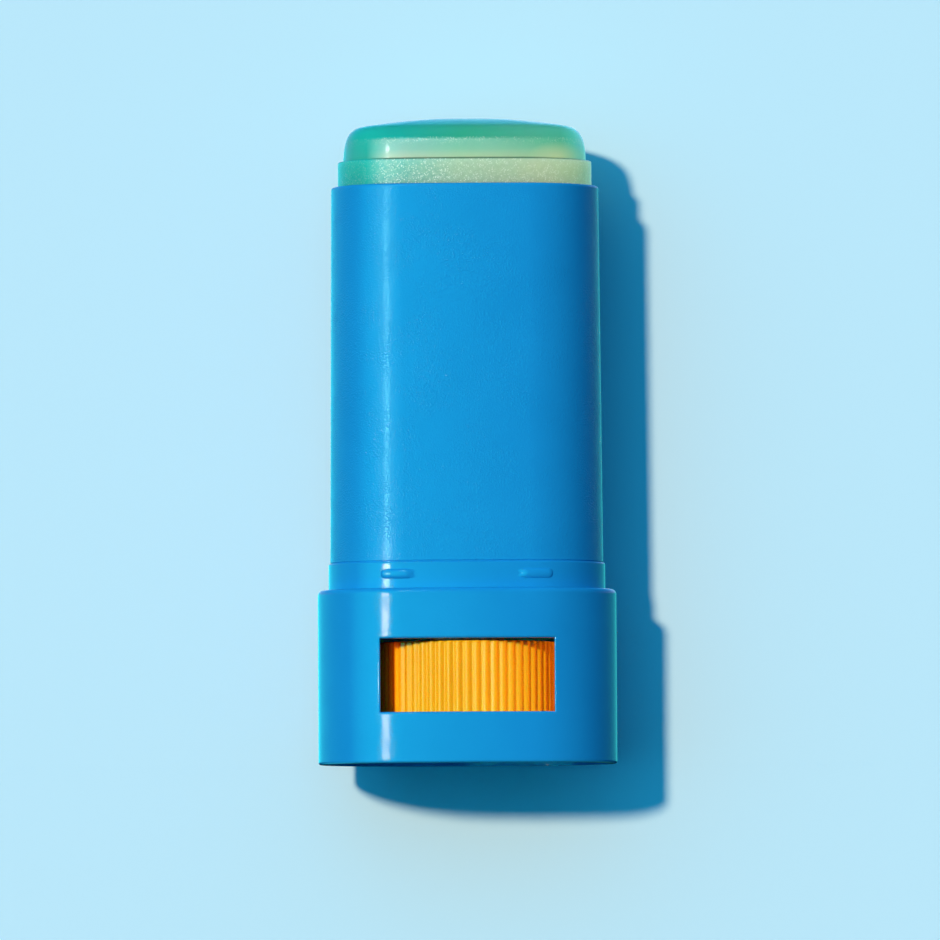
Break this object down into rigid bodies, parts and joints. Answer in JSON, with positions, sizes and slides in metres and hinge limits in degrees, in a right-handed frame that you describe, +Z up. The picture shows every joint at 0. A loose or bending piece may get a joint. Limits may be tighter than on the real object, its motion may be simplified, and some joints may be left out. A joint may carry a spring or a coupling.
{
  "type": "sunscreen stick",
  "caption": "Flat oval twist-up sunscreen stick without its cap: a ribbed thumbwheel in the wider base winds a domed translucent balm up and down in a blue barrel.",
  "frame": {"origin": "middle of the base's underside, on the axis of the thumbwheel and the lead screw", "axes": "+Z up along the stick, towards the balm; -Y towards the front in the picture; +X to the right seen from the front"},
  "size_m": [0.036, 0.0234, 0.078],
  "materials": {
    "blue_plastic": "satin moulded plastic, finely spark-eroded",
    "orange_plastic": "satin moulded plastic",
    "balm_gel": "smooth translucent gel with fine mineral grains",
    "white_plastic": "plain moulded plastic",
    "silicone": "matte silicone",
    "black_rubber": "matte rubber",
    "spring_steel": "bright spring steel"
  },
  "bodies": {
    "housing": {"base_shell": "blue_plastic", "base_plate": "blue_plastic", "barrel": "blue_plastic", "spindle_o_ring": "black_rubber"},
    "drive": {"thumbwheel": "orange_plastic", "spindle_clip": "spring_steel", "thrust_washer": "white_plastic", "lead_screw": "white_plastic"},
    "lift": {"carrier": "white_plastic", "lift_nut": "white_plastic", "carrier_wiper": "silicone", "balm": "balm_gel"}
  },
  "joints": [
    {"name": "wheel_turn", "type": "hinge", "parent": "housing", "child": "drive", "pos_m": [0, 0, 0.0101], "axis": [0, 0, 1], "range_deg": [-405.5, 3060.5]},
    {"name": "stick_lift", "type": "slide", "parent": "housing", "child": "lift", "axis": [0, 0, 1], "range_m": [-0.0045, 0.034]}
  ],
  "couplings": [
    {"joint": "wheel_turn", "follows": "stick_lift", "rad_per_m": 1570.8}
  ]
}
